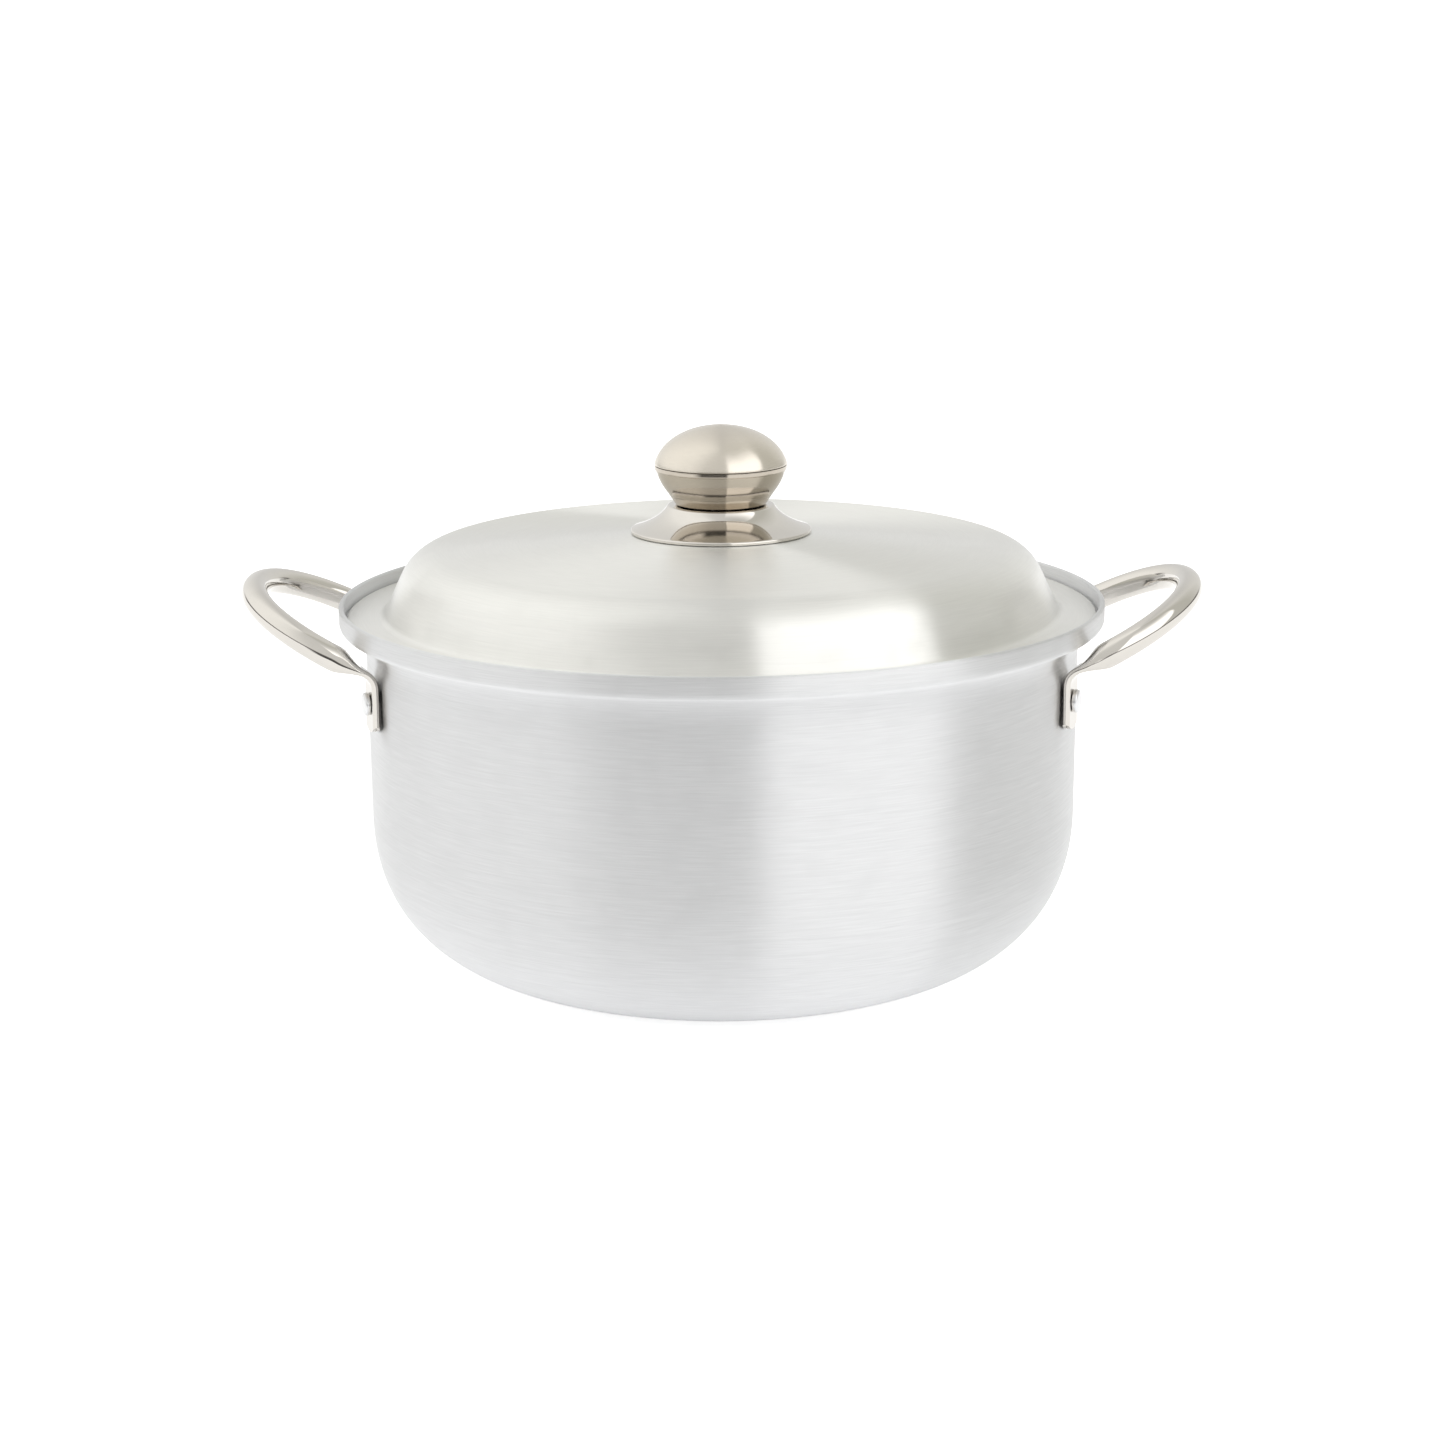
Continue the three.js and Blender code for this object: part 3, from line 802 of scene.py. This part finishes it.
class POT_OT_lid(Operator):
    """Spins the lid"""

    bl_idname = "pot.lid"
    bl_label = "Lid"

    def execute(self, context):
        sizes = context.scene.lid_sizes
        brim = LID_LOW.z + sizes.sheet
        edge = point(sizes.brim_radius, brim)
        foot = point(sizes.brim_radius - sizes.brim_width, brim)
        crown = foot + point(-sizes.side_lean, sizes.side_height)
        hole = point(sizes.hole_radius, crown_height(sizes.hole_radius))
        outline = [
            edge,
            *rounded(edge, foot, crown, sizes.foot_fillet, 10),
            *rounded(foot, crown, hole, sizes.shoulder, 24),
        ]
        outline += [*straight(outline[-1], hole, 24), hole]
        lid = spin_outline("lid", outline, context.scene.pot_detail.turns)
        give_wall(lid, sizes.sheet, sizes.edge_round)
        smooth(lid)
        stand_in(lid, "lid", "lid_shell", finish("lid_aluminium"))
        return {"FINISHED"}


KNOB_NODES = {"collar": "knob_skirt", "cup": "knob_cup", "cap": "knob_cap"}


class POT_OT_knob(Operator):
    """Spins the collar, the cup and the cap of the knob"""

    bl_idname = "pot.knob"
    bl_label = "Knob"

    def execute(self, context):
        sizes = context.scene.knob_sizes
        for name, outline, sheet, slot, look in (
            ("collar", self.skirt(sizes), sizes.skirt_sheet, "polished_steel", "polished_steel"),
            ("cup", self.cup(sizes), sizes.sheet, "brushed_steel", "glossy_steel"),
            ("cap", self.cap(sizes), sizes.sheet, "brushed_steel", "brushed_steel"),
        ):
            piece = spin_outline(name, outline, context.scene.pot_detail.knob_turns)
            give_wall(piece, sheet, 0.42)
            smooth(piece)
            stand_in(piece, "lid", KNOB_NODES[name], finish(look))
        return {"FINISHED"}

    def skirt(self, sizes):
        """The flared collar, resting on the crown by its edge."""
        low = point(sizes.skirt_radius, SKIRT_LOW.z)
        brow = low + point(0, sizes.skirt_edge)
        top = point(sizes.skirt_top_radius, SKIRT_HIGH.z)
        hang = brow + point((top.x - brow.x) * 0.74, (top.y - brow.y) * 0.36)
        hole = point(sizes.hole_radius, SKIRT_HIGH.z)
        turned_down = rounded(low, brow, hang, sizes.skirt_edge_round, 6)
        shoulder = rounded(hang, top, hole, sizes.skirt_corner, 8)
        return [
            low,
            *turned_down,
            *curve(turned_down[-1], hang, shoulder[0], 24)[1:-1],
            *shoulder,
            *straight(shoulder[-1], hole, 6),
            hole,
        ]

    def cup(self, sizes):
        """The lower half of the hollow knob, opening into the bead under the cap."""
        floor = CUP_LOW.z
        foot = point(sizes.foot_radius + sizes.foot_flare, floor + sizes.foot_height)
        lip = point(sizes.radius - sizes.bead_overhang, floor + sizes.cup_height)
        belly = point(foot.x + (lip.x - foot.x) * 0.75, foot.y + (lip.y - foot.y) * 0.5)
        under = point(sizes.foot_radius, floor)
        bead = sizes.bead_overhang * 2 / 3
        return [
            point(sizes.hole_radius, floor),
            *straight(point(sizes.hole_radius, floor), point(sizes.foot_radius - sizes.foot_round, floor), 6),
            *rounded(point(sizes.hole_radius, floor), under, foot, sizes.foot_round, 5),
            *curve(foot, belly, lip, 20),
            *quarter(lip + point(0, bead), point(bead, bead), -1, 0, 5)[1:],
            point(lip.x + bead, CUP_HIGH.z),
        ]

    def cap(self, sizes):
        """The dome would be widest a little below its edge, so the edge closes in slightly upwards."""
        rise = sizes.cap_sink / sizes.cap_rise
        start = math.asin(rise ** (sizes.cap_power / 2)) / QUARTER_TURN
        reach = sizes.radius / (1 - rise ** sizes.cap_power) ** (1 / sizes.cap_power)
        middle = CAP_HIGH.z - sizes.cap_rise
        return quarter(point(0, middle), point(reach, sizes.cap_rise), start, 1, 32, sizes.cap_power)


class POT_OT_fasteners(Operator):
    """Gives the screw, nut and washer under the knob their finish"""

    bl_idname = "pot.fasteners"
    bl_label = "Fasteners"

    def execute(self, context):
        for node in ("knob_nut", "screw_washer", "knob_screw"):
            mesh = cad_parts[node].data
            mesh.materials.clear()
            mesh.materials.append(finish("fastener_steel"))
        return {"FINISHED"}


# ---------------------------------------------------------------- the stage


class POT_OT_stage(Operator):
    """Lays the floor and sets up the lights and the camera"""

    bl_idname = "pot.stage"
    bl_label = "Stage"

    def execute(self, context):
        self.floor(context)
        self.surroundings(context)
        self.camera(context)
        return {"FINISHED"}

    def floor(self, context):
        # The camera sees an evenly bright floor. Every other ray sees painted light on it: a glow, with painted shadow
        # under the pot and painted shade in one far sector.
        deselect()
        bpy.ops.mesh.primitive_circle_add(vertices=96, radius=40, fill_type="NGON")
        floor = bpy.context.object
        floor.name = "floor"
        material = bpy.data.materials.new("floor")
        tree = Tree(material)
        rgb = context.scene.pot_finishes.floor
        matt = tree.add("ShaderNodeBsdfDiffuse", inputs={"Color": opaque(rgb)})
        seen = tree.add("ShaderNodeLightPath", output="Is Camera Ray")
        place = tree.add("ShaderNodeTexCoord", output="Object")
        distance = tree.add("ShaderNodeVectorMath", {"operation": "LENGTH"}, {0: place}, output=1)
        heading = heading_of(tree, place)
        # Painted shadow: the floor's glow fades out under the pot, so its reflection darkens towards the pot's foot.
        clear = tree.between(distance, 0.06, 0.14)
        lit = tree.blend(clear, (0, 0, 0, 1), (0.97, 0.98, 1.0, 1))
        # Painted light: the floor glows for every ray but the camera's, though it is no lamp.
        painted_glow = tree.add("ShaderNodeEmission", inputs={"Color": lit, "Strength": 0.42})
        pale = tree.add("ShaderNodeAddShader", inputs={0: matt, 1: painted_glow})
        # Painted shade: a dark far sector of the floor in front of the pot, seen by every ray but the camera's.
        front = tree.between(heading, -50, -30) * (1 - tree.between(heading, 10, 14))
        front = front * tree.between(distance, 0.66, 0.74)
        dark = tree.add("ShaderNodeBsdfDiffuse", inputs={"Color": (0.1, 0.1, 0.1, 1)})
        mirrored = tree.add("ShaderNodeMixShader", inputs={0: front, 1: pale, 2: dark})
        bright = tree.add("ShaderNodeEmission", inputs={"Color": (1, 1, 1, 1), "Strength": 0.8})
        shown = tree.add("ShaderNodeAddShader", inputs={0: matt, 1: bright})
        surface = tree.add("ShaderNodeMixShader", inputs={0: seen, 1: mirrored, 2: shown})
        tree.add("ShaderNodeOutputMaterial", inputs={"Surface": surface})
        floor.data.materials.append(material)

    def surroundings(self, context):
        """A white tent: bright panel on the right, open side on the left, darker behind the camera."""
        world = bpy.data.worlds.new("tent")
        context.scene.world = world
        tree = Tree(world)
        way = tree.add("ShaderNodeTexCoord", output="Generated")
        lift = tree.add("ShaderNodeSeparateXYZ", inputs={0: way}, output=2)
        heading = heading_of(tree, way)
        around = heading / 360 + 0.5
        ring = tree.add("ShaderNodeValToRGB", {"stops": [
            ((degrees + 180) / 360, opaque((level, level, level * tint)))
            for degrees, level, tint in (
                (-180, 0.77, 0.99), (-155, 0.97, 0.98), (-130, 1.16, 0.98), (-95, 1.20, 0.98),
                (-60, 1.12, 0.98), (-43, 0.97, 0.98), (-30, 0.87, 0.98), (-20, 0.83, 0.98), (13, 0.80, 0.98),
                (80, 0.68, 0.96), (98, 0.66, 0.94), (115, 0.66, 0.93), (150, 0.86, 0.97), (180, 0.77, 0.99),
            )
        ]}, {0: around})
        panel_in = tree.between(heading, 13.5, 15.0)
        panel_out = 1 - tree.between(heading - lift * 40, 63, 68)
        panel_low = tree.between(lift, 0.02, 0.06)
        panel_high = 1 - tree.between(lift, 0.70, 0.97)
        panel = panel_in * panel_out * panel_low * panel_high
        shade = tree.between(heading, -38, -24) * (1 - tree.between(heading, 10, 13))
        shade = shade * (1 - tree.between(lift, 0.04, 0.12))
        dimmed = tree.blend(shade, ring, (0.12, 0.12, 0.118, 1))
        panelled = tree.blend(panel, dimmed, (1.72, 1.72, 1.71, 1))
        edge = 1 - tree.between(lift, 0.06, 0.13)
        edge = edge * (1 - tree.between(heading.math("ABSOLUTE", heading, 0), 130, 148))
        lit = tree.blend(edge, panelled, (0.16, 0.15, 0.145, 1))
        seen = tree.add("ShaderNodeLightPath", output="Is Camera Ray")
        shown = tree.blend(seen, lit, (1, 1, 1, 1))
        background = tree.add("ShaderNodeBackground", inputs={"Color": shown, "Strength": 1.0})
        tree.add("ShaderNodeOutputWorld", inputs={"Surface": background})

    def camera(self, context):
        studio = context.scene.pot_studio
        aim = Vector((0, 0, studio.aim_height))
        way = Vector((
            math.cos(studio.elevation) * math.sin(studio.turn),
            -math.cos(studio.elevation) * math.cos(studio.turn),
            math.sin(studio.elevation),
        ))
        data = bpy.data.cameras.new("camera")
        data.lens = studio.lens
        data.sensor_width = 36
        camera = bpy.data.objects.new("camera", data)
        context.scene.collection.objects.link(camera)
        facing = way.to_track_quat("Z", "Y").to_matrix().to_4x4()
        camera.matrix_world = (
            Matrix.Translation(aim + way * studio.distance) @ facing @ Matrix.Rotation(-studio.roll, 4, "Z")
        )
        context.scene.camera = camera
        context.scene.view_settings.view_transform = "Standard"


class POT_PT_sidebar(Panel):
    """Lists the steps in their order"""

    bl_idname = "POT_PT_sidebar"
    bl_label = "Cooking Pot"
    bl_space_type = "VIEW_3D"
    bl_region_type = "UI"
    bl_category = "Pot"

    def draw(self, context):
        for operator in OPERATORS:
            self.layout.operator(operator.bl_idname)


OPERATORS = (
    POT_OT_body,
    POT_OT_handles,
    POT_OT_rivets,
    POT_OT_lid,
    POT_OT_knob,
    POT_OT_fasteners,
    POT_OT_stage,
)


def register():
    for cls in (*PROPERTY_GROUPS.values(), *OPERATORS, POT_PT_sidebar):
        bpy.utils.register_class(cls)
    for name, group in PROPERTY_GROUPS.items():
        setattr(bpy.types.Scene, name, PointerProperty(type=group))


def unregister():
    for name in PROPERTY_GROUPS:
        delattr(bpy.types.Scene, name)
    for cls in (POT_PT_sidebar, *OPERATORS, *PROPERTY_GROUPS.values()):
        bpy.utils.unregister_class(cls)


def main():
    register()
    for operator in OPERATORS:
        step = getattr(bpy.ops.pot, operator.bl_idname.split(".")[1])
        step()


if __name__ == "__main__":
    main()
